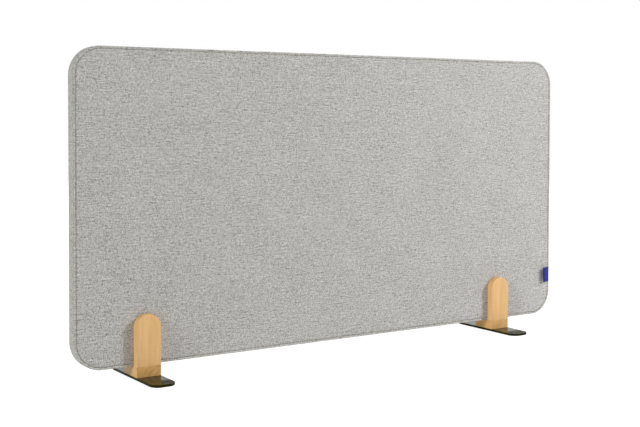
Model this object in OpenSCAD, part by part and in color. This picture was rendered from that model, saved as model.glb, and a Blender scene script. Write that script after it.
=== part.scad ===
// Acoustic desk screen: a fabric covered absorber panel that drops into two
// slotted wooden feet on steel plates. The desk top is z = 0, the middle of the
// panel is x = 0 and y = 0, and the front of the screen faces -Y.

/* [Panel] */
// Width of the covered panel
panel_w = 1200; // [800:10:1800]
// Height of the covered panel
panel_h = 600; // [350:10:900]
// Thickness over both fabric covers
panel_t = 24; // [18:1:40]
// Radius of the four corners
panel_corner_r = 55; // [30:1:90]
// Thickness of the stiff board in the middle
core_t = 8; // [4:1:12]

/* [Cover] */
// Thickness of the woven cover cloth
cover_t = 1.2; // [0.8:0.1:1.6]
// Play between the sewn edge band and the layers inside it
cover_ease = 0.3; // [0.2:0.1:0.6]
// Distance of the top stitching from the panel's edge
stitch_inset = 4.5; // [3.5:0.5:8]
// Width of the sunk line of thread
stitch_w = 1; // [0.6:0.1:1.6]
// Depth of the sunk line of thread
stitch_depth = 0.5; // [0.3:0.1:0.6]

/* [Label] */
// Height of the blank cloth label
label_h = 33; // [20:1:50]
// Reach of the label along the panel, from its sewn end
label_reach = 22; // [12:1:40]
// Distance that the free end stands off the cover
label_lift = 7; // [3:0.5:12]
// Thickness of the folded label
label_t = 1; // [0.6:0.1:1.6]
// Length of the sewn end that lies flat
label_root = 4; // [2:0.5:8]
// Distance of the sewn end from the panel's edge
label_inset = 2; // [2:0.5:6]
// Height of the label's middle above the panel's lower edge
label_z = 91; // [60:1:200]

/* [Feet] */
// Distance of the left foot's middle from the panel's left end
left_foot_setback = 142; // [100:1:300]
// Distance of the right foot's middle from the panel's right end
right_foot_setback = 172; // [100:1:300]
// Width of a foot's wooden parts and of its plate, along the panel
foot_w = 50; // [46:1:80]
// Height of the wooden block under the panel
block_h = 20; // [18:1:40]
// Thickness of the wooden uprights
upright_t = 16; // [12:1:25]
// Height of the uprights above the block
upright_h = 98; // [60:1:160]
// Radius of the uprights' two top corners
upright_corner_r = 25; // [8:1:40]
// Least flat stretch between the two top corners
upright_flat = 1; // [0.5:0.5:5]
// Play between the panel and each upright
slot_gap = 0.3; // [0.2:0.1:0.6]

/* [Dowels] */
// Diameter of the dowels between block and uprights
dowel_d = 8; // [6:1:8]
// Depth of the dowels in the block
dowel_in_block = 13; // [8:1:15]
// Depth of the dowels in the uprights
dowel_in_upright = 20; // [12:1:40]
// Spacing of the two dowels of one upright
dowel_spacing = 28; // [22:1:32]
// Glue gap round a dowel
dowel_gap = 0.05; // [0.05:0.05:0.15]

/* [Steel plate] */
// Length of the plate, across the panel
plate_l = 200; // [150:1:300]
// Thickness of the plate
plate_t = 4; // [3:0.5:6]
// Radius of the plate's corners
plate_corner_r = 18; // [5:1:22]

/* [Screws] */
// Diameter of the screws' shanks
screw_d = 4; // [3:0.5:5]
// Diameter of the countersunk heads
screw_head_d = 8; // [7:0.5:9]
// Height of the countersunk heads
screw_head_h = 2.4; // [1.8:0.1:2.8]
// Length of the screws, with their heads
screw_l = 16; // [12:1:18]
// Length of the screws' points
screw_tip_l = 3; // [2:0.5:4]
// Distance between the two screws of one foot
screw_spacing = 26; // [20:1:32]
// Play round a screw's shank in the plate
screw_gap = 0.25; // [0.15:0.05:0.4]
// Play round a screw's thread and head
thread_gap = 0.05; // [0.05:0.05:0.15]
// Width across the corners of the driver socket
socket_d = 2.8; // [2:0.1:3.2]
// Depth of the driver socket
socket_depth = 1.4; // [0.8:0.1:1.8]

/* [Pads] */
// Diameter of the rubber pads under a plate
pad_d = 14; // [8:1:18]
// Thickness of the rubber pads
pad_t = 1; // [0.6:0.1:2]
// Distance from the plate's edges to the middle of a pad
pad_inset = 13; // [12:1:24]

/* [Hidden] */
$fn = 96;
// How far a cutter runs past the surface that it cuts
overrun = 1;

felt_t = (panel_t - core_t) / 2 - cover_t;
lining_inset = cover_t + cover_ease;
plate_z = pad_t;
block_z = plate_z + plate_t;
slot_z = block_z + block_h;
panel_mid_z = slot_z + panel_h / 2;
cover_face_y = -panel_t / 2;
slot_y = panel_t / 2 + slot_gap;
block_l = 2 * (slot_y + upright_t);
upright_mid_y = slot_y + upright_t / 2;
top_corner_r = min(upright_corner_r, (foot_w - upright_flat) / 2);
left_foot_x = left_foot_setback - panel_w / 2;
right_foot_x = panel_w / 2 - right_foot_setback;

// Rectangle with four round corners, centred on the origin
module rounded_rectangle(width, height, radius) {
    square([width - 2 * radius, height], center = true);
    square([width, height - 2 * radius], center = true);
    for (side = [-1, 1], end = [-1, 1])
        translate([side * (width / 2 - radius), end * (height / 2 - radius)])
            circle(r = radius);
}

// Slab with the panel's outline drawn in by inset, from y to y + thickness
module panel_slab(inset, y, thickness) {
    translate([0, y + thickness, panel_mid_z])
        rotate([90, 0, 0])
            linear_extrude(thickness)
                rounded_rectangle(panel_w - 2 * inset, panel_h - 2 * inset, panel_corner_r - inset);
}

// Frame that follows the panel's outline between two insets
module panel_frame(outer_inset, inner_inset, y, thickness) {
    difference() {
        panel_slab(outer_inset, y, thickness);
        panel_slab(inner_inset, y - overrun, thickness + 2 * overrun);
    }
}

// Layers of the panel

module core_board() {
    color("burlywood")
        panel_slab(lining_inset, -core_t / 2, core_t);
}

module felt() {
    color("dimgray")
        panel_slab(lining_inset, cover_face_y + cover_t, felt_t);
}

module front_felt() {
    felt();
}

module rear_felt() {
    mirror([0, 1, 0])
        felt();
}

// Cloth over one face, with the groove that the top stitching pulls into it
module cover() {
    color("lightgray")
        difference() {
            panel_slab(0, cover_face_y, cover_t);
            panel_frame(
                stitch_inset - stitch_w / 2, stitch_inset + stitch_w / 2,
                cover_face_y - overrun, stitch_depth + overrun
            );
        }
}

module front_cover() {
    cover();
}

module rear_cover() {
    mirror([0, 1, 0])
        cover();
}

// Strip of cloth round the panel's edge, sewn between the two covers
module edge_band() {
    color("silver")
        panel_frame(0, cover_t, cover_face_y + cover_t, panel_t - 2 * cover_t);
}

// Line of thread that lies in a cover's groove
module topstitch() {
    color("gray")
        panel_frame(
            stitch_inset - stitch_w / 2, stitch_inset + stitch_w / 2,
            cover_face_y, stitch_depth
        );
}

module front_topstitch() {
    topstitch();
}

module rear_topstitch() {
    mirror([0, 1, 0])
        topstitch();
}

// Folded cloth label, flat where it is sewn on and standing off at its free end
module edge_label() {
    sewn_x = panel_w / 2 - label_inset;
    bend_x = sewn_x - label_root;
    free_x = sewn_x - label_reach;
    color("mediumblue")
        translate([0, 0, slot_z + label_z - label_h / 2])
            linear_extrude(label_h)
                polygon([
                    [sewn_x, cover_face_y],
                    [bend_x, cover_face_y],
                    [free_x, cover_face_y - label_lift],
                    [free_x, cover_face_y - label_lift - label_t],
                    [bend_x, cover_face_y - label_t],
                    [sewn_x, cover_face_y - label_t]
                ]);
}

// Pieces of one foot, drawn round x = 0

// Places its children at the four dowels
module at_dowels() {
    for (side = [-1, 1], face = [-1, 1])
        translate([side * dowel_spacing / 2, face * upright_mid_y, slot_z])
            children();
}

// Places its children at the two screws, on the plate's lower face
module at_screws() {
    for (face = [-1, 1])
        translate([0, face * screw_spacing / 2, plate_z])
            children();
}

// Block that the panel stands on, bored for the dowels and the screws
module block() {
    color("peru")
        difference() {
            translate([-foot_w / 2, -block_l / 2, block_z])
                cube([foot_w, block_l, block_h]);
            at_dowels()
                translate([0, 0, -dowel_in_block])
                    cylinder(d = dowel_d + 2 * dowel_gap, h = dowel_in_block + overrun);
            at_screws()
                cylinder(d = screw_d + 2 * thread_gap, h = screw_l + thread_gap);
        }
}

// Front upright: a board with round top corners, bored from below
module front_upright() {
    color("tan")
        difference() {
            translate([0, -slot_y, slot_z])
                rotate([90, 0, 0])
                    linear_extrude(upright_t)
                        upright_outline();
            at_dowels()
                translate([0, 0, -overrun])
                    cylinder(d = dowel_d + 2 * dowel_gap, h = dowel_in_upright + overrun);
        }
}

module upright_outline() {
    translate([-foot_w / 2, 0])
        square([foot_w, upright_h - top_corner_r]);
    translate([top_corner_r - foot_w / 2, 0])
        square([foot_w - 2 * top_corner_r, upright_h]);
    for (side = [-1, 1])
        translate([side * (foot_w / 2 - top_corner_r), upright_h - top_corner_r])
            circle(r = top_corner_r);
}

module rear_upright() {
    mirror([0, 1, 0])
        front_upright();
}

module dowels() {
    color("wheat")
        at_dowels()
            translate([0, 0, -dowel_in_block])
                cylinder(d = dowel_d, h = dowel_in_block + dowel_in_upright);
}

// Steel plate with round corners and two countersunk holes from below
module plate() {
    color("#1c1c18")
        difference() {
            translate([0, 0, plate_z])
                linear_extrude(plate_t)
                    rounded_rectangle(foot_w, plate_l, plate_corner_r);
            at_screws() {
                translate([0, 0, -overrun])
                    cylinder(d = screw_d + 2 * screw_gap, h = plate_t + 2 * overrun);
                cylinder(
                    d1 = screw_head_d + 2 * thread_gap,
                    d2 = screw_d + 2 * thread_gap,
                    h = screw_head_h
                );
            }
        }
}

// Two wood screws, their heads flush with the plate's lower face
module screws() {
    color("dimgray")
        at_screws()
            difference() {
                rotate_extrude()
                    polygon([
                        [0, 0],
                        [screw_head_d / 2, 0],
                        [screw_d / 2, screw_head_h],
                        [screw_d / 2, screw_l - screw_tip_l],
                        [0, screw_l]
                    ]);
                translate([0, 0, -overrun])
                    cylinder(d = socket_d, h = socket_depth + overrun, $fn = 6);
            }
}

// Four rubber pads between the plate and the desk
module pads() {
    color("darkslategray")
        for (side = [-1, 1], end = [-1, 1])
            translate([side * (foot_w / 2 - pad_inset), end * (plate_l / 2 - pad_inset), 0])
                cylinder(d = pad_d, h = pad_t);
}

module left_foot() {
    translate([left_foot_x, 0, 0])
        children();
}

module right_foot() {
    translate([right_foot_x, 0, 0])
        children();
}

core_board();
front_felt();
rear_felt();
front_cover();
rear_cover();
edge_band();
front_topstitch();
rear_topstitch();
edge_label();
left_foot() block();  // left_block
left_foot() front_upright();  // left_front_upright
left_foot() rear_upright();  // left_rear_upright
left_foot() dowels();  // left_dowels
left_foot() plate();  // left_plate
left_foot() screws();  // left_screws
left_foot() pads();  // left_pads
right_foot() block();  // right_block
right_foot() front_upright();  // right_front_upright
right_foot() rear_upright();  // right_rear_upright
right_foot() dowels();  // right_dowels
right_foot() plate();  // right_plate
right_foot() screws();  // right_screws
right_foot() pads();  // right_pads
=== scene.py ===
# %% [markdown]
# # A fabric covered desk screen in slotted wooden feet
# This lesson dresses a CAD model of an acoustic desk screen. The CAD gives every
# piece its true size and place, so each step below only adds what a CAD solid
# leaves out: the rolled and stitched edges of the cover, the thread, the rounded
# edges of the wood and the steel, and the finish of every surface. All lengths are
# in metres, and the desk top is z = 0.

# %% Load the frame
import math

import bmesh
import bpy
from bmesh.types import BMEdge, BMVert
from mathutils import Matrix, Vector, noise


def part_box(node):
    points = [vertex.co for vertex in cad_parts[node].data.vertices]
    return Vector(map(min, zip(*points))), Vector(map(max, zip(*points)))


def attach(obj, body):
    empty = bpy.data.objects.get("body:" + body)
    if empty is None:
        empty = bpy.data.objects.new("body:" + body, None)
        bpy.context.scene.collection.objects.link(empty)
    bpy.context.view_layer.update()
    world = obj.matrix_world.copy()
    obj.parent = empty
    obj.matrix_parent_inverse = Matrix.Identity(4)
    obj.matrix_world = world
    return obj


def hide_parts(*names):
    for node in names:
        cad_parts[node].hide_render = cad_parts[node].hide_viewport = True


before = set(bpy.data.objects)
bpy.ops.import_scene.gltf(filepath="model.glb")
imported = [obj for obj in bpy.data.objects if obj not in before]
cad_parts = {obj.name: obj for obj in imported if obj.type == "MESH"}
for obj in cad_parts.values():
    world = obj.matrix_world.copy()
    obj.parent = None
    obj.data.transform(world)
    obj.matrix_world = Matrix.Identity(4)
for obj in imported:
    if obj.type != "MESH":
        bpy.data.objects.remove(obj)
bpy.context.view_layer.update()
MM = 0.001

# %% [markdown]
# ## The camera
# The photograph looks at the screen from its front left, almost level. The lens and
# the place were found by fitting the panel's four straight edges and its corners.
# Shifting the lens down a little frames the screen while the camera stays almost
# level, which keeps upright lines upright. Turning the camera down would frame it
# too, but then they would lean.

# %% Camera
SENSOR_W = 36
LENS = 63.58
SHIFT_Y = -0.1
CAMERA_AT = Vector((-1.3606, -1.9644, 0.5007))
YAW = math.radians(-33.617)
PITCH = math.radians(-1.816)
ROLL = math.radians(-0.135)

camera = bpy.data.objects.new("camera", bpy.data.cameras.new("camera"))
bpy.context.collection.objects.link(camera)
camera.data.sensor_width = SENSOR_W
camera.data.lens = LENS
camera.data.shift_y = SHIFT_Y
level = Matrix.Rotation(math.radians(90), 4, "X")
turn = Matrix.Rotation(YAW, 4, "Z") @ Matrix.Rotation(PITCH, 4, "X") @ Matrix.Rotation(ROLL, 4, "Y")
camera.matrix_world = Matrix.Translation(CAMERA_AT) @ turn @ level
bpy.context.scene.camera = camera
bpy.context.scene.view_settings.view_transform = "Standard"
print("the camera stands", round(CAMERA_AT.length, 2), "m from the origin")

# %% [markdown]
# ## Nodes in a few words
# A procedural finish is a graph of small nodes. Short helpers add a node, do a sum,
# stretch a value or read a noise, so that each finish below reads like a recipe. A
# group is the better form for an effect that several finishes share, because it is
# built once and gets other values in each material.

# %% Nodes and sums
def put(tree, socket, value):
    """Links a socket to an output, or gives it a plain value."""
    if isinstance(value, bpy.types.NodeSocket):
        tree.links.new(value, socket)
    else:
        socket.default_value = value


def add_node(tree, kind, inputs=None, **settings):
    """Adds a node with its settings. inputs gives values to sockets, by name or number."""
    made = tree.nodes.new("ShaderNode" + kind)
    for name, value in settings.items():
        setattr(made, name, value)
    for name, value in (inputs or {}).items():
        put(tree, made.inputs[name], value)
    return made


def calc(tree, operation, *values):
    """Adds a Math node and returns what it puts out."""
    made = tree.nodes.new("ShaderNodeMath")
    made.operation = operation
    for socket, value in zip(made.inputs, values):
        put(tree, socket, value)
    return made.outputs[0]


def blend_numbers(tree, share, low, high):
    """Goes from low to high as share goes from 0 to 1."""
    made = add_node(tree, "Mix", {0: share, 2: low, 3: high}, data_type="FLOAT")
    return made.outputs[0]


def spread(tree, value, low, high):
    """Stretches a value so that low becomes 0 and high becomes 1, and keeps it between them."""
    made = add_node(tree, "MapRange", {"Value": value, "From Min": low, "From Max": high})
    return made.outputs[0]


def noise_at(tree, vector, scale, detail=2.0, roughness=0.5):
    """Adds a noise texture and returns its number, which is near 0.5 on average."""
    inputs = {"Vector": vector, "Scale": scale, "Detail": detail, "Roughness": roughness}
    return add_node(tree, "TexNoise", inputs).outputs[0]


def sway(tree, base, value, share):
    """Moves base up and down by a share of a value that is 0.5 on average."""
    return calc(tree, "MULTIPLY_ADD", calc(tree, "SUBTRACT", value, 0.5), share, base)


def vector_of(tree, x, y, z):
    """Puts three numbers together as a vector."""
    return add_node(tree, "CombineXYZ", {"X": x, "Y": y, "Z": z}).outputs[0]


# %% Groups and materials
def new_group(name, inputs, outputs):
    """Starts a node group. inputs are (name, start value) and outputs are names."""
    tree = bpy.data.node_groups.new(name, "ShaderNodeTree")
    tree.interface.new_socket("Vector", in_out="INPUT", socket_type="NodeSocketVector")
    for label, value in inputs:
        socket = tree.interface.new_socket(label, in_out="INPUT", socket_type="NodeSocketFloat")
        socket.default_value = value
    for label in outputs:
        tree.interface.new_socket(label, in_out="OUTPUT", socket_type="NodeSocketFloat")
    return tree, tree.nodes.new("NodeGroupInput").outputs, tree.nodes.new("NodeGroupOutput").inputs


def use_group(tree, group, vector, **values):
    """Places a group in a material and returns its outputs. An underscore stands for a space."""
    made = tree.nodes.new("ShaderNodeGroup")
    made.node_tree = group
    put(tree, made.inputs["Vector"], vector)
    for name, value in values.items():
        made.inputs[name.replace("_", " ")].default_value = value
    return made.outputs


def new_material(name, **constants):
    """A material with constant values on its shader. Returns it with its node tree and shader."""
    material = bpy.data.materials.new(name)
    material.use_nodes = True
    shader = material.node_tree.nodes["Principled BSDF"]
    for label, value in constants.items():
        shader.inputs[label.replace("_", " ")].default_value = value
    return material, material.node_tree, shader


def place_of(tree, kind="Object"):
    """The piece's own coordinates, or with kind UV the metres that its UV map holds."""
    return add_node(tree, "TexCoord").outputs[kind]


# %% Colour and relief
def tint(tree, share, *stops):
    """A colour ramp whose stops are (position, linear red, green, blue)."""
    made = add_node(tree, "ValToRGB", {0: share})
    ramp = made.color_ramp
    while len(ramp.elements) < len(stops):
        ramp.elements.new(0.5)
    for element, (position, *colour) in zip(ramp.elements, stops):
        element.position = position
        element.color = (*colour, 1)
    return made.outputs[0]


def bump(tree, shader, height, depth):
    """Raises the surface by a height from 0 to 1, where 1 is depth in metres."""
    made = add_node(tree, "Bump", {"Strength": 1.0, "Distance": depth, "Height": height})
    put(tree, shader.inputs["Normal"], made.outputs[0])


# %% [markdown]
# ## Mesh helpers
# Each new piece is shaped in a bmesh and then becomes an object that rides on a CAD
# body. The object stays at the origin, because its place is in its mesh, just as in
# the CAD. A rounded surface is shaded smooth, so that its facets don't show, and a
# piece names the faces that stay flat.

# %% Mesh helpers
MERGE = 0.001 * MM


def make_piece(bm, name, body, material, replaces=(), flat_faces=()):
    """Turns a bmesh into a finished piece, shaded smooth but for its flat faces."""
    bmesh.ops.remove_doubles(bm, verts=bm.verts, dist=MERGE)
    bmesh.ops.recalc_face_normals(bm, faces=bm.faces)
    for face in bm.faces:
        face.smooth = face not in flat_faces
    mesh = bpy.data.meshes.new(name)
    bm.to_mesh(mesh)
    bm.free()
    piece = bpy.data.objects.new(name, mesh)
    bpy.context.collection.objects.link(piece)
    mesh.materials.append(material)
    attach(piece, body)
    if replaces:
        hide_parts(*replaces)
    print(name, "has", len(mesh.polygons), "faces")
    return piece


def made_parts(result, kind, where="geom"):
    """The parts of one kind, such as edges, in what a bmesh operator gives back."""
    return [item for item in result[where] if isinstance(item, kind)]


# %% [markdown]
# ## Outlines with round corners
# The panel and the steel plates are rectangles with round corners. Every line that
# runs round one, such as a seam or a row of stitches, is the same outline moved
# inwards: its straight stretches stay, and only its corners get a smaller radius. So
# a section can be swept round by extruding a loop of edges again and again and
# laying each new loop at its own distance inside the edge and its own height. The
# same class finds places by their distance along the edge, for stitches and weave.

# %% Outline class
QUARTER = math.pi / 2


class Outline:
    """A rectangle with round corners. Its own axes are u and v, and height is along u x v."""

    def __init__(self, centre, half_u, half_v, radius, u, v):
        self.half_u = half_u
        self.half_v = half_v
        self.radius = radius
        self.flat_u = half_u - radius
        self.flat_v = half_v - radius
        axes = Matrix((u, v, u.cross(v))).transposed()
        self.frame = Matrix.Translation(centre) @ axes.to_4x4()
        self.back = self.frame.inverted()

    def sides(self):
        """Each side's straight length and the centre of the corner after it."""
        a, b = self.flat_u, self.flat_v
        return [(2 * a, (a, -b)), (2 * b, (a, b)), (2 * a, (-a, b)), (2 * b, (-a, -b))]

    def length(self, inset):
        """Length of the line at that distance inside the edge."""
        return 4 * (self.flat_u + self.flat_v) + 2 * math.pi * (self.radius - inset)

    def place(self, along, inset, height):
        """Where a line is after a distance along it: x points outwards and y ahead."""
        bend = QUARTER * (self.radius - inset)
        along %= self.length(inset)
        for side, (run, corner) in enumerate(self.sides()):
            if along <= run + bend:
                break
            along -= run + bend
        turned = max(along - run, 0) / (self.radius - inset)
        still_straight = min(along - run, 0)
        local = Matrix.Translation((*corner, height))
        local @= Matrix.Rotation((side - 1) * QUARTER + turned, 4, "Z")
        return self.frame @ local @ Matrix.Translation((self.radius - inset, still_straight, 0))

    def core(self, local):
        """The point that the outline turns round, nearest to a local point."""
        u = max(-self.flat_u, min(self.flat_u, local.x))
        v = max(-self.flat_v, min(self.flat_v, local.y))
        return Vector((u, v, local.z))

    def inset_of(self, point):
        """How far a point lies inside the edge."""
        local = self.back @ point
        return self.radius - (local - self.core(local)).length

    def along(self, point, inset):
        """Distance along the line at that inset, to beside a point near the edge."""
        local = self.back @ point
        core = self.core(local)
        out = local - core
        quarters = round(math.atan2(out.y, out.x) / QUARTER + 1, 6) % 4
        side = int(quarters)
        bend = QUARTER * (self.radius - inset)
        before = sum(run for run, corner in self.sides()[:side]) + side * bend
        run, corner = self.sides()[side]
        left = (Vector(corner) - core.xy).length
        return before + run - left + (quarters - side) * bend

    def start(self, bm, inset, height, step):
        """A loop of edges along the line at that inset: a rectangle whose corners are beveled."""
        bmesh.ops.create_grid(bm, x_segments=1, y_segments=1, size=1)
        size = Matrix.Diagonal((self.half_u - inset, self.half_v - inset, 1, 1))
        lying = self.frame @ Matrix.Translation((0, 0, height)) @ size
        bmesh.ops.transform(bm, matrix=lying, verts=bm.verts)
        bmesh.ops.bevel(
            bm, geom=bm.verts[:], offset=self.radius - inset, offset_type="OFFSET",
            segments=round(QUARTER * self.radius / step), profile=0.5, affect="VERTICES", material=-1,
        )
        bmesh.ops.delete(bm, geom=bm.faces[:], context="FACES_ONLY")
        for edge in [edge for edge in bm.edges if edge.calc_length() > 2 * step]:
            bmesh.ops.subdivide_edges(bm, edges=[edge], cuts=round(edge.calc_length() / step) - 1)
        return bm.edges[:]

    def lay(self, verts, inset, height):
        """Puts vertices at that distance inside the edge and at that height."""
        for vert in verts:
            local = self.back @ vert.co
            core = self.core(local)
            out = Vector((local.x - core.x, local.y - core.y, 0)).normalized()
            place = core + out * (self.radius - inset)
            place.z = height
            vert.co = self.frame @ place

    def sweep(self, bm, edges, section):
        """Extrudes a loop of edges through a section of (inset, height) pairs and returns the last loop."""
        for inset, height in section:
            result = bmesh.ops.extrude_edge_only(bm, edges=edges)
            self.lay(made_parts(result, BMVert), inset, height)
            edges = made_parts(result, BMEdge)
        return edges


# %% The panel's outline
PANEL_CORNER_R = 55 * MM

front_low, front_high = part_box("front_cover")
rear_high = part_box("rear_cover")[1]
HALF_T = rear_high.y
COVER_T = front_high.y - front_low.y
panel_middle = (front_low + rear_high) / 2
panel = Outline(
    panel_middle, (front_high.x - front_low.x) / 2, (front_high.z - front_low.z) / 2, PANEL_CORNER_R,
    Vector((1, 0, 0)), Vector((0, 0, 1)),
)
print("the seam is", round(panel.length(0), 4), "m long")

# %% [markdown]
# ## The melange cloth
# The cover is a light grey wool-look cloth in plain weave, whose yarns are spun from
# pale and dark fibres, so short flecks lie along the threads, mostly along the weft.
# From a step away the weave blurs, and the flecks, a few millimetres long and one yarn
# high, are what the eye sees. A picture of cloth would repeat, so the weave is counted
# out in nodes: whole numbers tell the yarns apart, a checkerboard of them says which is
# on top, and each yarn reads its own row of a noise. Two sizes of fleck are added up:
# short ones that differ from yarn to yarn, and long slubs, whose neighbours lie in
# pairs of opposites, so that they look crisp instead of cloudy. The group works in
# metres on the cloth.

# %% Tone of a yarn
YARN = 1.8 * MM
SLUB = 18 * MM
ROW_STRIDE = 7.31  # how far apart in the noise two yarns are read
FLECKS_PER_SLUB = 13.0
FLECK_SHARE = 0.75  # of the tone, and the slubs make up the rest


def yarn_tone(tree, along, yarn):
    """The tone along a yarn, around 0.5: short flecks of its own, and slubs opposite to its neighbour's."""
    pair = calc(tree, "FLOOR", calc(tree, "MULTIPLY", yarn, 0.5))
    second = calc(tree, "FLOORED_MODULO", yarn, 2.0)
    pair_row = vector_of(tree, along, calc(tree, "MULTIPLY", pair, ROW_STRIDE), 0.0)
    slub = noise_at(tree, pair_row, scale=1.0, detail=0.0)
    slub = blend_numbers(tree, second, slub, calc(tree, "SUBTRACT", 1.0, slub))
    own_row = calc(tree, "MULTIPLY", yarn, ROW_STRIDE)
    short = vector_of(tree, calc(tree, "MULTIPLY", along, FLECKS_PER_SLUB), own_row, ROW_STRIDE)
    fleck = noise_at(tree, short, scale=1.0, detail=1.0, roughness=0.6)
    return blend_numbers(tree, FLECK_SHARE, slub, fleck)


# %% Weave group
WARP_SHARE = 0.35  # how much of its own tone a warp yarn shows
YARN_DIP = 0.55  # how much lower a yarn is where it dives
FUZZ_SCALE = 2600.0


def crown(tree, across):
    """The height of a round yarn: 0 at its edges and 1 along its middle."""
    return calc(tree, "ABSOLUTE", calc(tree, "SINE", calc(tree, "MULTIPLY", across, math.pi)))


def bent(tree, over, under):
    """The height of the yarn on top, which dips where it dives under its neighbours."""
    return calc(tree, "MULTIPLY", over, calc(tree, "MULTIPLY_ADD", under, YARN_DIP, 1 - YARN_DIP))


def weave_group():
    """Plain weave: Fleck is the yarn's tone, Height its roundness, Fuzz the loose fibres."""
    inputs = [("Yarn Pitch", YARN), ("Slub Length", SLUB), ("Warp Share", WARP_SHARE)]
    tree, given, out = new_group("plain weave", inputs, ["Fleck", "Height", "Fuzz"])
    place = add_node(tree, "SeparateXYZ", {0: given["Vector"]}).outputs
    column = calc(tree, "DIVIDE", place[0], given["Yarn Pitch"])
    row = calc(tree, "DIVIDE", place[1], given["Yarn Pitch"])
    column_id = calc(tree, "FLOOR", column)
    row_id = calc(tree, "FLOOR", row)
    weft = calc(tree, "FLOORED_MODULO", calc(tree, "ADD", column_id, row_id), 2.0)
    weft_crown = crown(tree, row)
    warp_crown = crown(tree, column)
    weft_height = bent(tree, weft_crown, warp_crown)
    warp_height = bent(tree, warp_crown, weft_crown)
    put(tree, out["Height"], blend_numbers(tree, weft, warp_height, weft_height))
    weft_tone = yarn_tone(tree, calc(tree, "DIVIDE", place[0], given["Slub Length"]), row_id)
    warp_tone = yarn_tone(tree, calc(tree, "DIVIDE", place[1], given["Slub Length"]), column_id)
    warp_tone = blend_numbers(tree, given["Warp Share"], weft_tone, warp_tone)
    put(tree, out["Fleck"], blend_numbers(tree, weft, warp_tone, weft_tone))
    put(tree, out["Fuzz"], noise_at(tree, given["Vector"], FUZZ_SCALE, 3.0, 0.6))
    return tree


plain_weave = weave_group()
print("the weave has", len(plain_weave.nodes), "nodes")

# %% Cover cloth
CLOUD_SCALE = 9.0
CLOUD_SHARE = 0.05
FUZZ_SHARE = 0.35
FUZZ_HEIGHT = 0.4
CLOTH_RELIEF = 0.22 * MM
MELANGE = (
    (0.28, 0.105, 0.101, 0.096), (0.42, 0.329, 0.319, 0.311),
    (0.53, 0.542, 0.53, 0.527), (0.68, 0.732, 0.716, 0.728),
)


def cover_cloth():
    """Light grey melange cloth, matt, with a little sheen from loose fibres."""
    material, tree, shader = new_material(
        "cover cloth", Roughness=0.95, Specular_IOR_Level=0.15, Sheen_Weight=0.12, Sheen_Roughness=0.6,
    )
    cloth = place_of(tree, "UV")
    weave = use_group(tree, plain_weave, cloth, Yarn_Pitch=YARN, Slub_Length=SLUB, Warp_Share=WARP_SHARE)
    clouds = noise_at(tree, cloth, CLOUD_SCALE, 3.0, 0.55)
    tone = sway(tree, weave["Fleck"], clouds, CLOUD_SHARE)
    tone = sway(tree, tone, weave["Fuzz"], FUZZ_SHARE)
    put(tree, shader.inputs["Base Color"], tint(tree, tone, *MELANGE))
    fluff = calc(tree, "MULTIPLY_ADD", weave["Fuzz"], FUZZ_HEIGHT, weave["Height"])
    bump(tree, shader, fluff, CLOTH_RELIEF)
    return material


cloth_material = cover_cloth()
print("made", cloth_material.name)

# %% [markdown]
# ## The two covers
# A cover is cut as a rounded rectangle and sewn to the edge band inside out. Turned
# and pulled over the felt, its edge rolls into a soft lip, and a second row of
# stitches, about 5 mm in, pins the seam's turned-in cloth down and draws a groove all
# round. The flat middle is a rectangle with beveled corners, cut into squares by
# planes, so that it can be given the slight unevenness of stretched cloth, and the
# rolled edge is swept round it. A flat back closes the piece against the felt.

# %% Stitch spacing and the section of the lip
STITCH_INSET = 5.1 * MM
STITCH_SPACING = 3.8 * MM
STITCH_COUNT = round(panel.length(STITCH_INSET) / STITCH_SPACING)
STITCH_PITCH = panel.length(STITCH_INSET) / STITCH_COUNT
EDGE_STEP = STITCH_PITCH / 3  # so that each stitch can pull a dimple
LIP_END = 14 * MM
# From the flat face over the groove and the lip to the seam: mm inside the edge, and mm deep.
LIP_SECTION = [
    (9.5, 0.02), (8.2, 0.07), (7.2, 0.2), (6.5, 0.4), (5.8, 0.75), (4.7, 0.75), (4.1, 0.5), (3.3, 0.25),
    (2.6, 0.12), (1.9, 0.04), (1.3, 0.0), (0.8, 0.03), (0.4, 0.25), (0.45, 0.85), (1.25, 1.2),
]
print(STITCH_COUNT, "stitches in a row, one every", round(STITCH_PITCH / MM, 2), "mm")

# %% Softness of a cover
SLACK_START = 6 * MM  # this far inside the edge the cloth begins to be loose
SLACK_RUN = 30 * MM
RIPPLE = 0.35 * MM
RIPPLES_PER_M = 7
RIPPLE_SLICE = 3  # another number gives other ripples
PUCKER = 0.14 * MM
PUCKER_START = 1 * MM
PUCKER_END = 7 * MM


def pucker_at(point):
    """From 0 to 1, 1 where a stitch pulls the cloth down."""
    return 0.5 + 0.5 * math.cos(2 * math.pi * panel.along(point, STITCH_INSET) / STITCH_PITCH)


def soften_cover(verts, outward):
    """Moves the face of a cover a little, as stretched cloth and stitches do."""
    for vert in verts:
        inset = panel.inset_of(vert.co)
        slack = min(1, max(0, (inset - SLACK_START) / SLACK_RUN))
        place = Vector((vert.co.x * RIPPLES_PER_M, RIPPLE_SLICE, vert.co.z * RIPPLES_PER_M))
        ripple = noise.noise(place) * RIPPLE * slack
        if PUCKER_START < inset < PUCKER_END:
            ripple -= PUCKER * pucker_at(vert.co)
        vert.co.y += outward * ripple


# %% Covers
SQUARE = 25 * MM
CUT_MERGE = 0.2 * MM
FACE_DEPTH = 0.8 * MM  # what lies less deep belongs to the face


def cut_in_squares(bm):
    """Cuts the flat middle of a cover along planes that are one square apart."""
    for axis, half in ((Vector((1, 0, 0)), panel.half_u), (Vector((0, 0, 1)), panel.half_v)):
        for cut in range(1, round(2 * half / SQUARE)):
            place = panel_middle + axis * (cut * SQUARE - half)
            everything = bm.verts[:] + bm.edges[:] + bm.faces[:]
            bmesh.ops.bisect_plane(bm, geom=everything, plane_co=place, plane_no=axis, dist=CUT_MERGE)


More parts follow.
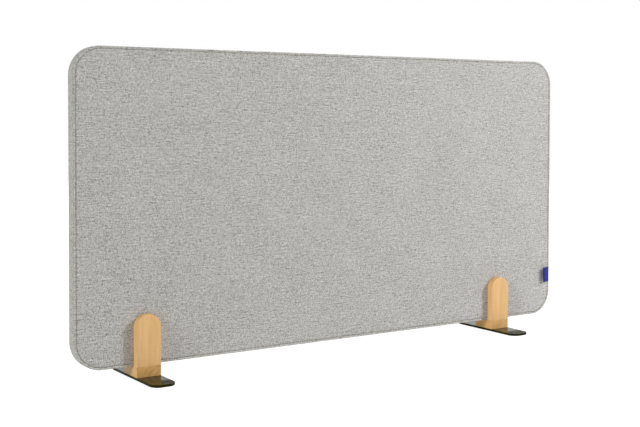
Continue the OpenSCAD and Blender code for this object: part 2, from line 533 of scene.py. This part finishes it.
def make_cover(name, node, side):
    """The cover on one side of the panel: side is 1 for the front and -1 for the rear."""
    bm = bmesh.new()
    edges = panel.start(bm, LIP_END, side * HALF_T, EDGE_STEP)
    bmesh.ops.contextual_create(bm, geom=edges)
    cut_in_squares(bm)
    edges = [edge for edge in bm.edges if edge.is_boundary]
    section = [(inset * MM, side * (HALF_T - depth * MM)) for inset, depth in LIP_SECTION]
    edges = panel.sweep(bm, edges, section)
    soften_cover([vert for vert in bm.verts if abs(vert.co.y) > HALF_T - FACE_DEPTH], -side)
    edges = panel.sweep(bm, edges, [(LIP_END, side * (HALF_T - COVER_T))])
    bmesh.ops.contextual_create(bm, geom=edges)
    flat_map = bm.loops.layers.uv.new("cloth")
    for face in bm.faces:
        for loop in face.loops:
            loop[flat_map].uv = (side * loop.vert.co.x, loop.vert.co.z)
    cover = make_piece(bm, name, "panel", cloth_material, [node])


make_cover("front_cloth", "front_cover", 1)
make_cover("rear_cloth", "rear_cover", -1)

# %% [markdown]
# ## The edge band
# A strip of the same cloth runs round the edge and holds both covers. It is as long
# as the outline and as wide as the space between the covers, and its weave follows the
# edge round the corners: its UV map holds the distance along the edge and across it.

# %% Edge band
BAND_HALF = HALF_T - COVER_T
# From the crown of the band to its seam: mm inside the edge, and share of half its width.
BAND_SECTION = [(0.0, 0.45), (0.03, 0.66), (0.25, 0.78), (0.7, 0.87), (1.25, 0.93)]
BAND_INSIDE = 1.35 * MM
BAND_INSIDE_SHARE = 0.92


def make_band():
    """The strip of cloth round the panel's edge."""
    bm = bmesh.new()
    edges = panel.start(bm, 0, 0, EDGE_STEP)
    half = [(inset * MM, share * BAND_HALF) for inset, share in BAND_SECTION]
    half.append((BAND_INSIDE, BAND_INSIDE_SHARE * BAND_HALF))
    other_half = [(inset, -height) for inset, height in reversed(half)]
    panel.sweep(bm, edges, half + other_half + [(0, 0)])
    flat_map = bm.loops.layers.uv.new("cloth")
    total = panel.length(0)
    for face in bm.faces:
        along = [panel.along(loop.vert.co, 0) for loop in face.loops]
        for loop, place in zip(face.loops, along):
            past_the_start = max(along) - place > total / 2
            loop[flat_map].uv = (place + total * past_the_start, loop.vert.co.y)
    band = make_piece(bm, "edge_strip", "panel", cloth_material, ["edge_band"])


make_band()

# %% [markdown]
# ## The thread
# Sewing thread is two or three plies twisted together, so its finish is a fine slanted
# stripe. Each stitch of the visible row is a short sausage that dives into the cloth at
# both ends. It is a small sphere, stretched and laid in the groove, because a shape
# that is repeated nine hundred times should have only a few dozen faces. In the seam
# itself, the pull of the stretched cloth opens the two edges a little, and the thread
# between them shows as a row of tiny rungs.

# %% Thread
FIBRE_SCALE = 3200.0
PLY_SCALE = 900.0
THREAD_RELIEF = 0.08 * MM


def thread_material(name, dark, light):
    """Twisted polyester thread: dark and light are the colours between and on the plies."""
    material, tree, shader = new_material(name, Roughness=0.6, Specular_IOR_Level=0.3)
    place = place_of(tree)
    fibres = noise_at(tree, place, FIBRE_SCALE, 2.0, 0.6)
    plies = add_node(
        tree, "TexWave", {"Vector": place, "Scale": PLY_SCALE, "Distortion": 2.0},
        bands_direction="DIAGONAL",
    ).outputs["Fac"]
    strand = calc(tree, "MULTIPLY_ADD", plies, 0.5, calc(tree, "MULTIPLY", fibres, 0.5))
    put(tree, shader.inputs["Base Color"], tint(tree, strand, (0.2, *dark), (0.8, *light)))
    bump(tree, shader, strand, THREAD_RELIEF)
    return material


top_thread = thread_material("top stitch thread", (0.095, 0.093, 0.045), (0.25, 0.245, 0.16))
seam_thread = thread_material("seam thread", (0.22, 0.215, 0.19), (0.44, 0.43, 0.39))


# %% Sewing
def stitch_shape():
    """A small round mesh that every stitch is stretched from."""
    bm = bmesh.new()
    bmesh.ops.create_uvsphere(bm, u_segments=6, v_segments=5, radius=1)
    mesh = bpy.data.meshes.new("stitch")
    bm.to_mesh(mesh)
    bm.free()
    return mesh


def sew(name, node_replaced, thread, places, size):
    """One piece of many stitches: places are their matrices, with x out, y ahead and z up."""
    bm = bmesh.new()
    stitch = stitch_shape()
    for place in places:
        lying = place @ Matrix.Diagonal((*size, 1))
        stitch.transform(lying)
        bm.from_mesh(stitch)
        stitch.transform(lying.inverted())
    bpy.data.meshes.remove(stitch)
    make_piece(bm, name, "panel", thread, node_replaced)


# %% Rows of stitches and rungs
TOP_STITCH = (0.5 * MM, 1.7 * MM, 0.42 * MM)
TOP_STITCH_DEPTH = 0.52 * MM
RUNG = (0.85 * MM, 0.5 * MM, 0.25 * MM)
RUNG_INSET = 0.75 * MM
RUNG_DEPTH = 1.3 * MM
RUNG_SLANT = math.radians(45)
RUNG_PITCH = panel.length(0) / STITCH_COUNT

for side, name in ((1, "front"), (-1, "rear")):
    height = side * (HALF_T - TOP_STITCH_DEPTH)
    stitches = [
        panel.place((number + 0.5) * STITCH_PITCH, STITCH_INSET, height) for number in range(STITCH_COUNT)
    ]
    sew(name + "_stitch_row", [name + "_topstitch"], top_thread, stitches, TOP_STITCH)
    height = side * (HALF_T - RUNG_DEPTH)
    slant = Matrix.Rotation(side * RUNG_SLANT, 4, "Y")
    rungs = [
        panel.place(number * RUNG_PITCH, RUNG_INSET, height) @ slant for number in range(STITCH_COUNT)
    ]
    sew(name + "_seam_rungs", [], seam_thread, rungs, RUNG)

# %% [markdown]
# ## The blank label
# A short length of woven ribbon is folded in two and caught in the seam by its ends.
# The fold springs away from the cover. The ribbon is one row of edges swept outwards
# along the lower layer, spun round the fold and swept back, and then given its
# thickness, which is how the real one runs too. Satin ribbon has floats along its
# length, so it is smooth and slightly shiny, with firm woven edges. The photograph
# shows it a little longer and higher than its CAD solid, so it is eased by that much.

# %% Label cloth
RIBBON_YARN = 0.35 * MM
RIBBON_SLUB = 3 * MM
RIBBON_RELIEF = 0.05 * MM


def label_cloth():
    """Deep blue satin ribbon, blank."""
    material, tree, shader = new_material("label ribbon", Roughness=0.55, Specular_IOR_Level=0.12)
    place = add_node(tree, "SeparateXYZ", {0: place_of(tree)}).outputs
    ribbon = vector_of(tree, place["X"], place["Z"], 0.0)
    weave = use_group(
        tree, plain_weave, ribbon, Yarn_Pitch=RIBBON_YARN, Slub_Length=RIBBON_SLUB, Warp_Share=1.0,
    )
    blue = tint(tree, weave["Fleck"], (0.3, 0.009, 0.009, 0.14), (0.7, 0.024, 0.024, 0.28))
    put(tree, shader.inputs["Base Color"], blue)
    bump(tree, shader, weave["Height"], RIBBON_RELIEF)
    return material


# %% Sweeping the ribbon
RIBBON_COLUMNS = 12
RUN_STEPS = 10
SPRING_POWER = 1.4


def ribbon_end(bm, middle, height):
    """One end of the ribbon: an upright row of edges, which is the far side of a grid."""
    bmesh.ops.create_grid(bm, x_segments=RIBBON_COLUMNS, y_segments=1, size=1)
    bmesh.ops.delete(bm, geom=[edge for edge in bm.edges if edge.verts[0].co.y < 0], context="EDGES")
    for vert in bm.verts:
        vert.co.y = 0
    stand = Matrix.Rotation(math.radians(-90), 4, "Y") @ Matrix.Diagonal((height / 2, 1, 1, 1))
    bmesh.ops.transform(bm, matrix=Matrix.Translation(middle) @ stand, verts=bm.verts)
    return bm.edges[:]


def run_ribbon(bm, edges, start, end, bend):
    """Sweeps edges from start to end. bend tells how much of the way in y is done at each share in x."""
    reached = start
    for step in range(1, RUN_STEPS + 1):
        share = step / RUN_STEPS
        place = start + Vector(((end.x - start.x) * share, (end.y - start.y) * bend(share), 0))
        result = bmesh.ops.extrude_edge_only(bm, edges=edges)
        bmesh.ops.translate(bm, verts=made_parts(result, BMVert), vec=place - reached)
        edges = made_parts(result, BMEdge)
        reached = place
    return edges


def spring(share):
    """How far the ribbon has sprung away from the cover on its way out."""
    return math.sin(share * QUARTER) ** SPRING_POWER


# %% Label
RIBBON_T = 0.35 * MM
FOLD_R = 0.3 * MM
FOLD_STEPS = 6
LABEL_EASE = Vector((2.2, 0, 1.6)) * MM


def make_label():
    """The folded ribbon, from its sewn ends out to the fold and back."""
    low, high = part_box("edge_label")
    low.x -= LABEL_EASE.x
    high.z += LABEL_EASE.z
    root = Vector((high.x, high.y, 0))
    fold = Vector((low.x + FOLD_R + RIBBON_T, low.y + 2 * FOLD_R + RIBBON_T, 0))
    bm = bmesh.new()
    edges = ribbon_end(bm, Vector((root.x, root.y, (high.z + low.z) / 2)), high.z - low.z)
    edges = run_ribbon(bm, edges, root, fold, spring)
    result = bmesh.ops.spin(
        bm, geom=edges, cent=fold - Vector((0, FOLD_R, 0)), axis=Vector((0, 0, 1)),
        angle=math.radians(180), steps=FOLD_STEPS,
    )
    edges = made_parts(result, BMEdge, "geom_last")
    turned = fold - Vector((0, 2 * FOLD_R, 0))
    root_front = root - Vector((0, RIBBON_T, 0))
    run_ribbon(bm, edges, turned, root_front, lambda share: 1 - spring(1 - share))
    bmesh.ops.recalc_face_normals(bm, faces=bm.faces)
    bmesh.ops.solidify(bm, geom=bm.faces[:], thickness=RIBBON_T)
    label = make_piece(bm, "label_ribbon", "panel", label_cloth(), ["edge_label"])


make_label()

# %% [markdown]
# ## Beech
# The feet are lacquered beech. On the long sides its yearly rings are only faint broad
# bands, and the grain is many fine pores drawn out along the trunk, with tiny
# spindle-shaped flecks. On the sawn end the rings are dark arcs. A wood texture works
# best as the whole trunk: rings round an axis, cut by the piece wherever it lies, so
# that a front shows long lines and an end shows arcs, and both meet at the corner. The
# group takes its trunk along Z, and each material turns and places it with a Mapping
# node.

# %% Wood group
RING_SPACING = 5 * MM
WAVINESS = 9 * MM
WANDER_SCALE = 22.0
YEAR_SCALE = 7.3
YEAR_RANGE = (0.25, 0.7)
LATE_START = 0.4  # the share of a year at which the wood begins to darken
LATE_PEAK = 0.88
PORE_SCALE = 1100.0
RAY_SCALE = 1500.0
RAY_RANGE = (0.66, 0.78)
BAND_SCALE = 120.0
# How far each pattern is drawn out along the trunk: the smaller, the longer.
BROAD_DRAW = 0.08
PORE_DRAW = 0.025
RAY_DRAW = 0.22


def drawn_out(tree, place, draw):
    """A place squeezed along the trunk, so that a noise read there is drawn out along the grain."""
    return vector_of(tree, place[0], place[1], calc(tree, "MULTIPLY", place[2], draw))


def wood_group():
    """A trunk along Z: Ring is the dark late wood, Grain the pores, Fleck the rays, Band broad streaks."""
    inputs = [("Ring Spacing", RING_SPACING), ("Waviness", WAVINESS)]
    tree, given, out = new_group("trunk", inputs, ["Ring", "Grain", "Fleck", "Band"])
    place = add_node(tree, "SeparateXYZ", {0: given["Vector"]}).outputs
    broad = drawn_out(tree, place, BROAD_DRAW)
    squares = [calc(tree, "POWER", place[axis], 2.0) for axis in (0, 1)]
    across = calc(tree, "SQRT", calc(tree, "ADD", *squares))
    wander = noise_at(tree, broad, WANDER_SCALE)
    reach = sway(tree, across, wander, given["Waviness"])
    years = calc(tree, "DIVIDE", reach, given["Ring Spacing"])
    year = calc(tree, "FRACT", years)
    late = calc(
        tree, "MULTIPLY", spread(tree, year, LATE_START, LATE_PEAK), spread(tree, year, 1.0, LATE_PEAK),
    )
    each_year = noise_at(tree, vector_of(tree, calc(tree, "FLOOR", years), 0.5, 0.5), YEAR_SCALE, 0.0)
    put(tree, out["Ring"], calc(tree, "MULTIPLY", late, spread(tree, each_year, *YEAR_RANGE)))
    put(tree, out["Grain"], noise_at(tree, drawn_out(tree, place, PORE_DRAW), PORE_SCALE, 4.0, 0.6))
    rays = noise_at(tree, drawn_out(tree, place, RAY_DRAW), RAY_SCALE, 0.0)
    put(tree, out["Fleck"], spread(tree, rays, *RAY_RANGE))
    put(tree, out["Band"], noise_at(tree, broad, BAND_SCALE, 3.0, 0.6))
    return tree


trunk = wood_group()
print("the trunk has", len(trunk.nodes), "nodes")

# %% Beech finish
END_RANGE = (0.5, 0.95)
WOOD_ROUGHNESS = 0.32
PORES_ROUGHEN = 0.25
WOOD_RELIEF = 0.05 * MM
# The tone of plain wood and what each pattern adds to it. A higher tone is darker.
MID_TONE = 0.35
PORE_SHARE = 0.4
BAND_SHARE = 0.55
RAY_SHARE = 0.07
# painted shade: how much darker the breaks that lean to the front or the back are made
BREAK_SHADE_SHARE = 0.05
SIDE_RING_SHARE = 0.06


def end_grain_mask(tree, turn):
    """1 on a sawn end, where the surface looks along the trunk, and 0 on the long sides."""
    turned = add_node(
        tree, "Mapping", {"Vector": place_of(tree, "Normal"), "Rotation": turn}, vector_type="VECTOR",
    ).outputs[0]
    facing = add_node(tree, "SeparateXYZ", {0: turned}).outputs["Z"]
    return spread(tree, calc(tree, "ABSOLUTE", facing), *END_RANGE)


def beech(name, grain_turn, pith, ring_spacing, ring_share, end_share, colours):
    """Lacquered beech. grain_turn, about X, brings the grain to Z, and pith is the trunk's middle."""
    material, tree, shader = new_material(
        name, Roughness=0.42, Specular_IOR_Level=0.35, Coat_Weight=0.1, Coat_Roughness=0.25,
    )
    turn = (math.radians(grain_turn), 0, 0)
    turned_pith = Matrix.Rotation(turn[0], 3, "X") @ pith
    moved = {"Vector": place_of(tree), "Location": -turned_pith, "Rotation": turn}
    place = add_node(tree, "Mapping", moved).outputs[0]
    wood = use_group(tree, trunk, place, Ring_Spacing=ring_spacing, Waviness=WAVINESS)
    end_grain = end_grain_mask(tree, turn)
    ring_depth = blend_numbers(tree, end_grain, SIDE_RING_SHARE, ring_share)
    tone = sway(tree, MID_TONE, wood["Grain"], PORE_SHARE)
    tone = calc(tree, "MULTIPLY_ADD", wood["Ring"], ring_depth, tone)
    tone = sway(tree, tone, wood["Band"], BAND_SHARE)
    tone = calc(tree, "MULTIPLY_ADD", wood["Fleck"], RAY_SHARE, tone)
    tone = calc(tree, "MULTIPLY_ADD", end_grain, end_share, tone)
    # painted shade: the marked breaks are made a little darker
    break_shade = add_node(tree, "Attribute", attribute_name="break_shade").outputs["Fac"]
    tone = calc(tree, "MULTIPLY_ADD", break_shade, BREAK_SHADE_SHARE, tone)
    put(tree, shader.inputs["Base Color"], tint(tree, tone, *colours))
    rough = calc(tree, "MULTIPLY_ADD", wood["Grain"], PORES_ROUGHEN, WOOD_ROUGHNESS)
    put(tree, shader.inputs["Roughness"], rough)
    bump(tree, shader, wood["Grain"], WOOD_RELIEF)
    return material


# %% [markdown]
# ## The wooden feet
# A foot is a block with one board in front of the panel and one behind it. Their
# edges are broken by hand sanding, about 1.3 mm, and where a board meets the block
# the smaller break leaves a hair line. Each is a box whose edges are beveled: first
# the two top corners of a board at 24.5 mm, then every outer edge, and last the joint.
# The breaks that lean to the front or the back are painted darker, as painted shade on
# the rounded rim: an attribute marks those faces, and the finish reads it.

# %% Edges of wood
TOP_CORNER_R = 24.5 * MM
TOP_CORNER_STEPS = 28
SANDED = 1.3 * MM
SANDED_STEPS = 4
JOINT_BREAK = 0.35 * MM
JOINT_STEPS = 2
SHARP = math.radians(40)
AT_HEIGHT = 0.01 * MM


def bevel_edges(bm, edges, width, segments):
    """Rounds edges with a bevel."""
    bmesh.ops.bevel(
        bm, geom=edges, offset=width, offset_type="OFFSET", segments=segments, profile=0.5,
        affect="EDGES", material=-1, clamp_overlap=True,
    )


def at_height(edge, z):
    """True for an edge that lies at a height."""
    return all(abs(vert.co.z - z) < AT_HEIGHT for vert in edge.verts)


def is_sharp(edge):
    """True for an edge whose two faces meet at a clear angle."""
    return edge.calc_face_angle() > SHARP


# %% Painted shade on the sanded breaks
LEANING = (0.1, 0.99)


def mark_break_shade(bm):
    """Marks the breaks that lean to the front or the back, where the finish paints shade."""
    bm.normal_update()
    break_shade = bm.loops.layers.float_color.new("break_shade")
    for face in bm.faces:
        share = float(LEANING[0] < abs(face.normal.y) < LEANING[1])
        for loop in face.loops:
            loop[break_shade] = (share, share, share, 1)


# %% Pieces of wood
FLAT_AREA = 200 * MM * MM


def wooden_piece(node, body, material, top_corners, low_break, high_break):
    """A box of wood in the node's place, with its edges broken."""
    low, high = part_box(node)
    bm = bmesh.new()
    size = Matrix.Diagonal((*(high - low), 1))
    bmesh.ops.create_cube(bm, size=1, matrix=Matrix.Translation((low + high) / 2) @ size)
    if top_corners:
        across = [
            edge for edge in bm.edges
            if at_height(edge, high.z) and abs(edge.verts[0].co.y - edge.verts[1].co.y) > MM
        ]
        bevel_edges(bm, across, TOP_CORNER_R, TOP_CORNER_STEPS)
    level_at = (low.z,) if top_corners else (low.z, high.z)
    level = [edge for edge in bm.edges if any(at_height(edge, z) for z in level_at)]
    outer = [edge for edge in bm.edges if edge not in level and is_sharp(edge)]
    bevel_edges(bm, outer, SANDED, SANDED_STEPS)
    for z, width in ((low.z, low_break), (high.z, high_break)):
        edges = [edge for edge in bm.edges if at_height(edge, z) and is_sharp(edge)]
        if width and edges:
            bevel_edges(bm, edges, width, JOINT_STEPS)
    mark_break_shade(bm)
    flat_faces = {face for face in bm.faces if face.calc_area() > FLAT_AREA}
    make_piece(bm, node + "_wood", body, material, [node], flat_faces)


# %% Feet of wood
LONG_GRAIN = ((0.1, 0.867, 0.561, 0.272), (0.4, 0.745, 0.449, 0.192), (0.9, 0.388, 0.211, 0.069))
# The block's colours are its own beech and also painted shade: darker and less blue than the uprights', as
# the block looks in the shade under the panel.
BLOCK_BEECH_AND_SHADE = ((0.1, 0.79, 0.485, 0.205), (0.4, 0.675, 0.39, 0.138), (0.9, 0.34, 0.18, 0.048))
PITH_BESIDE = Vector((-0.062, 0.034, 0))
PITH_BELOW = Vector((0.048, 0, -0.040))

for foot, end_share, rings in (("left", 0.12, 10 * MM), ("right", 0.0, 4.5 * MM)):
    low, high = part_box(foot + "_block")
    middle = (low + high) / 2
    upright_grain = beech(
        foot + " upright beech", grain_turn=0, pith=middle + PITH_BESIDE, ring_spacing=RING_SPACING,
        ring_share=0.2, end_share=0.1, colours=LONG_GRAIN,
    )
    block_grain = beech(
        foot + " block beech", grain_turn=90, pith=middle + PITH_BELOW, ring_spacing=rings,
        ring_share=0.21, end_share=end_share, colours=BLOCK_BEECH_AND_SHADE,
    )
    for board in ("front", "rear"):
        wooden_piece(f"{foot}_{board}_upright", foot + "_foot", upright_grain, True, JOINT_BREAK, 0)
    wooden_piece(foot + "_block", foot + "_foot", block_grain, False, JOINT_BREAK, JOINT_BREAK)

# %% [markdown]
# ## The steel plates
# Each foot stands on a 4 mm steel plate with round corners, countersunk from below
# for two screws, and finished in glossy black lacquer, which flows off the edges and
# rounds them. Its section is swept round the outline, the screw holes are circles
# swept inwards, and a fill that knows about holes closes the top and the underside.
# What is mirrored in the lacquer looks olive, so the shader's specular tint is olive.
# The cut edges hold less lacquer and are duller, so they get a material of their own.
# It could be a mask in one material, but two materials on one mesh, chosen by which
# way a face looks, are simpler and meet in a crisp line.

# %% Lacquer
PEEL_SCALE = 380.0
PEEL_RELIEF = 0.012 * MM
DUST_SCALE = 1900.0
DUST_RANGE = (0.62, 0.8)
DUST_DULLS = 0.1


def black_lacquer(name, roughness, specular, clean, dusty):
    """Black lacquer with a slight orange peel. clean and dusty are its colours off and on dust."""
    material, tree, shader = new_material(
        name, Roughness=roughness, IOR=1.28, Specular_IOR_Level=specular, Specular_Tint=(0.85, 1, 0, 1),
    )
    place = place_of(tree)
    peel = noise_at(tree, place, PEEL_SCALE, 1.0, 0.4)
    dust = spread(tree, noise_at(tree, place, DUST_SCALE, 1.0, 0.5), *DUST_RANGE)
    put(tree, shader.inputs["Base Color"], tint(tree, dust, (0.0, *clean), (1.0, *dusty)))
    put(tree, shader.inputs["Roughness"], calc(tree, "MULTIPLY_ADD", dust, DUST_DULLS, roughness))
    bump(tree, shader, peel, PEEL_RELIEF)
    return material


lacquer = black_lacquer("black lacquer", 0.06, 0.5, (0.019, 0.020, 0.006), (0.030, 0.031, 0.014))
edge_lacquer = black_lacquer("edge lacquer", 0.5, 0.1, (0.020, 0.021, 0.001), (0.04, 0.041, 0.012))

# %% Screw holes
HOLE_SIDES = 32
SCREW_SHAFT_R = 2.25 * MM
SINK_DEPTH = 2.45 * MM
SINK_R = 4.05 * MM


def screw_hole(bm, centre, low_z, high_z):
    """A countersunk hole. Returns its edges on the underside and on top."""
    place = Matrix.Translation((centre.x, centre.y, low_z))
    ring = bmesh.ops.create_circle(bm, segments=HOLE_SIDES, radius=SINK_R, matrix=place)["verts"]
    under = [edge for edge in bm.edges if edge.verts[0] in ring]
    edges = under
    for height in (low_z + SINK_DEPTH, high_z):
        result = bmesh.ops.extrude_edge_only(bm, edges=edges)
        for vert in made_parts(result, BMVert):
            out = Vector((vert.co.x - centre.x, vert.co.y - centre.y, 0)).normalized() * SCREW_SHAFT_R
            vert.co = Vector((centre.x, centre.y, height)) + out
        edges = made_parts(result, BMEdge)
    return under, edges


# %% Plates
PLATE_CORNER_R = 18 * MM
PLATE_STEP = 1.2 * MM
EDGE_ROUND = 0.5 * MM
EDGE_ROUND_STEPS = 5
LEVEL_NORMAL = 0.8


def make_plate(foot):
    """The plate under a foot."""
    low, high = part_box(foot + "_plate")
    screws_low, screws_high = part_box(foot + "_screws")
    middle = (low + high) / 2
    outline = Outline(
        Vector((middle.x, middle.y, 0)), (high.x - low.x) / 2, (high.y - low.y) / 2, PLATE_CORNER_R,
        Vector((1, 0, 0)), Vector((0, 1, 0)),
    )
    bm = bmesh.new()
    under = outline.start(bm, EDGE_ROUND / 2, low.z, PLATE_STEP)
    section = [(0.0, low.z + EDGE_ROUND / 2), (0.0, high.z - EDGE_ROUND)]
    for step in range(1, EDGE_ROUND_STEPS + 1):
        turn = step / EDGE_ROUND_STEPS * QUARTER
        section.append((EDGE_ROUND * (1 - math.cos(turn)), high.z - EDGE_ROUND * (1 - math.sin(turn))))
    top = outline.sweep(bm, under, section)
    for y in (screws_low.y + SINK_R, screws_high.y - SINK_R):
        hole_under, hole_top = screw_hole(bm, Vector((middle.x, y, 0)), low.z, high.z)
        under += hole_under
        top += hole_top
    bmesh.ops.triangle_fill(bm, edges=under, use_beauty=True)
    bmesh.ops.triangle_fill(bm, edges=top, use_beauty=True)
    flat_faces = {face for face in bm.faces if len(face.verts) == 3}
    plate = make_piece(
        bm, foot + "_steel_plate", foot + "_foot", lacquer, [foot + "_plate"], flat_faces,
    )
    plate.data.materials.append(edge_lacquer)
    for polygon in plate.data.polygons:
        polygon.material_index = int(abs(polygon.normal.z) < LEVEL_NORMAL)


for foot in ("left", "right"):
    make_plate(foot)

# %% [markdown]
# ## What stays as the CAD made it
# The board, the felt, the dowels, the screws and the pads have their right shape in
# the CAD, so they only need a finish. Most of them hide inside, but a reader who takes
# the screen apart sees the fibres of the felt, the pressed chips of the board, the
# ribs of the dowels, the zinc on the screws and the dull rubber.

# %% Inner finishes
SPECKS_ROUGHEN = 0.2


def speckled(name, scale, depth, roughness, stretch, dark, light, metallic=0.0):
    """A finish of fine specks between two colours, drawn out along Z by stretch."""
    material, tree, shader = new_material(name, Roughness=roughness, Metallic=metallic)
    drawn = add_node(tree, "Mapping", {"Vector": place_of(tree), "Scale": (1, 1, stretch)}).outputs[0]
    specks = noise_at(tree, drawn, scale, 4.0, 0.65)
    put(tree, shader.inputs["Base Color"], tint(tree, specks, (0.3, *dark), (0.7, *light)))
    put(tree, shader.inputs["Roughness"], sway(tree, roughness, specks, SPECKS_ROUGHEN))
    bump(tree, shader, specks, depth)
    return material


board = speckled("fibre board", 500.0, 0.1 * MM, 0.8, 0.3, (0.20, 0.12, 0.06), (0.38, 0.26, 0.15))
felt = speckled("pressed felt", 900.0, 0.4 * MM, 0.95, 0.4, (0.05, 0.05, 0.053), (0.12, 0.12, 0.125))
dowel = speckled("ribbed dowel", 1500.0, 0.1 * MM, 0.7, 0.05, (0.50, 0.34, 0.17), (0.70, 0.52, 0.30))
zinc = speckled("zinc plate", 700.0, 0.01 * MM, 0.35, 0.1, (0.42, 0.43, 0.44), (0.62, 0.63, 0.63), 1.0)
rubber = speckled("pad rubber", 1400.0, 0.05 * MM, 0.85, 1.0, (0.01, 0.01, 0.01), (0.03, 0.03, 0.03))

FINISHES = {
    "core_board": board, "front_felt": felt, "rear_felt": felt,
    "left_dowels": dowel, "right_dowels": dowel, "left_screws": zinc, "right_screws": zinc,
    "left_pads": rubber, "right_pads": rubber,
}
for node, finish in FINISHES.items():
    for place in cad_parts[node].material_slots:
        place.material = finish
print(len(FINISHES), "CAD nodes keep their shape")

# %% [markdown]
# ## Floor, walls and light
# The photograph was taken on white. The floor and the world look white to the camera
# and in reflections, but they light the object only as much as a pale room would. The
# floor glows less where something stands within a few millimetres of it, which keeps
# the thin shadow along each plate. A small lamp in front on the right is the main
# light, which lays the uprights' shadows on the cloth, a large one far off on the left
# opens the shadows, and a third lights the back. Room and lamps are tinted faintly, as
# the walls tint the light in the photograph.

# %% Floor
FLOOR_HALF = 6.0
CONTACT = 3 * MM
CONTACT_RANGE = (0.2, 0.5)
FLOOR_GLOW = 0.9


def seen_directly(tree):
    """1 where the camera, a reflection or a view through glass looks, and 0 for light itself."""
    path = add_node(tree, "LightPath").outputs
    seen = calc(tree, "MAXIMUM", path["Is Camera Ray"], path["Is Glossy Ray"])
    return calc(tree, "MAXIMUM", seen, path["Is Transmission Ray"])


def make_floor():
    """A pale desk top that looks white, but keeps the shadow of what stands on it."""
    bm = bmesh.new()
    bmesh.ops.create_grid(bm, x_segments=1, y_segments=1, size=FLOOR_HALF)
    mesh = bpy.data.meshes.new("floor")
    bm.to_mesh(mesh)
    bm.free()
    floor = bpy.data.objects.new("floor", mesh)
    bpy.context.collection.objects.link(floor)
    material, tree, shader = new_material(
        "floor", Roughness=1.0, Specular_IOR_Level=0.0, Emission_Color=(1, 1, 1, 1),
    )
    seen = seen_directly(tree)
    openness = add_node(tree, "AmbientOcclusion", {"Distance": CONTACT}).outputs["AO"]
    glow = calc(tree, "MULTIPLY", seen, spread(tree, openness, *CONTACT_RANGE))
    put(tree, shader.inputs["Base Color"], tint(tree, seen, (0, 0.85, 0.85, 0.84), (1, 0.3, 0.3, 0.3)))
    put(tree, shader.inputs["Emission Strength"], calc(tree, "MULTIPLY", glow, FLOOR_GLOW))
    mesh.materials.append(material)


make_floor()
print("the floor is", 2 * FLOOR_HALF, "m wide")

# %% World
ROOM_LIGHT = 0.27


def make_world():
    """White where it is seen, and a faint light where it isn't."""
    world = bpy.data.worlds.new("white room")
    bpy.context.scene.world = world
    world.use_nodes = True
    tree = world.node_tree
    background = tree.nodes["Background"]
    seen = seen_directly(tree)
    put(tree, background.inputs["Color"], tint(tree, seen, (0, 0.95, 1.0, 0.85), (1, 1, 1, 1)))
    put(tree, background.inputs["Strength"], blend_numbers(tree, seen, ROOM_LIGHT, 1.0))


make_world()
print("strength of the room's light", ROOM_LIGHT)


# %% Lamps
def soft_lamp(name, aim_height, toward, distance, size, power, colour=(1, 1, 1)):
    """A square lamp that faces a point over the origin from a direction."""
    data = bpy.data.lights.new(name, "AREA")
    data.size = size
    data.energy = power
    data.color = colour
    lamp = bpy.data.objects.new(name, data)
    bpy.context.collection.objects.link(lamp)
    toward = Vector(toward).normalized()
    place = Vector((0, 0, aim_height)) + toward * distance
    lamp.matrix_world = Matrix.Translation(place) @ toward.to_track_quat("Z", "Y").to_matrix().to_4x4()
    lamp.visible_camera = False
    print("lamp", name, "gives", power, "W from", distance, "m")


soft_lamp("key", 0.1, (1.15, -1.0, 0.8), 5.5, 0.9, 192, (1.0, 0.978, 1.0))
soft_lamp("fill", 0.2, (-1.0, -0.25, 0.5), 20.0, 6.0, 1900, (0.985, 1.0, 0.96))
soft_lamp("back", 0.2, (0.5, 1.0, 0.6), 6.0, 2.4, 180)
